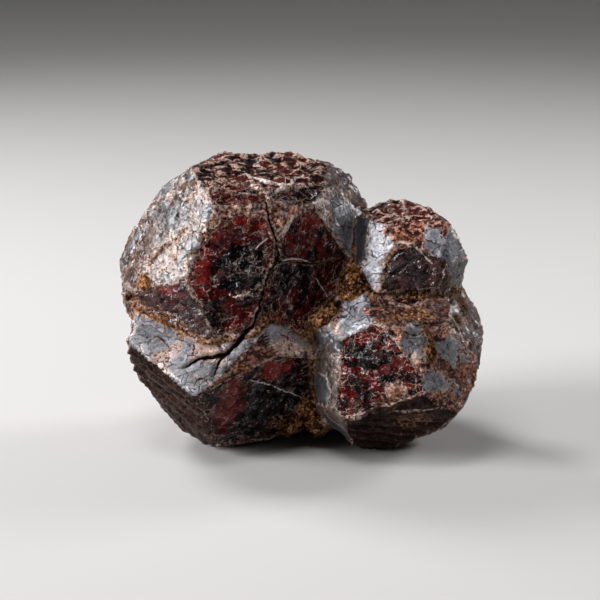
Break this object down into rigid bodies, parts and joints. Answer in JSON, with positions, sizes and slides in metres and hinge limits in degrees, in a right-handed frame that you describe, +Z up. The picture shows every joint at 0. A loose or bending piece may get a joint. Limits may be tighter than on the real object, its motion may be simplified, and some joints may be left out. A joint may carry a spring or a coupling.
{
  "type": "garnet crystal cluster",
  "caption": "Natural cluster of dark red garnets grown into each other, with weathered grey skin, bare dark windows, open cracks and ochre clay in the grooves.",
  "frame": {"origin": "on the ground, under the middle of the cluster's bounding box", "axes": "+X along the long side of the cluster, to the right seen from its front; the front looks along -Y; +Z up"},
  "size_m": [0.0498, 0.0387, 0.0406],
  "materials": {
    "garnet": "satin"
  },
  "bodies": {
    "root": {"garnet_cluster": "garnet"}
  },
  "joints": []
}
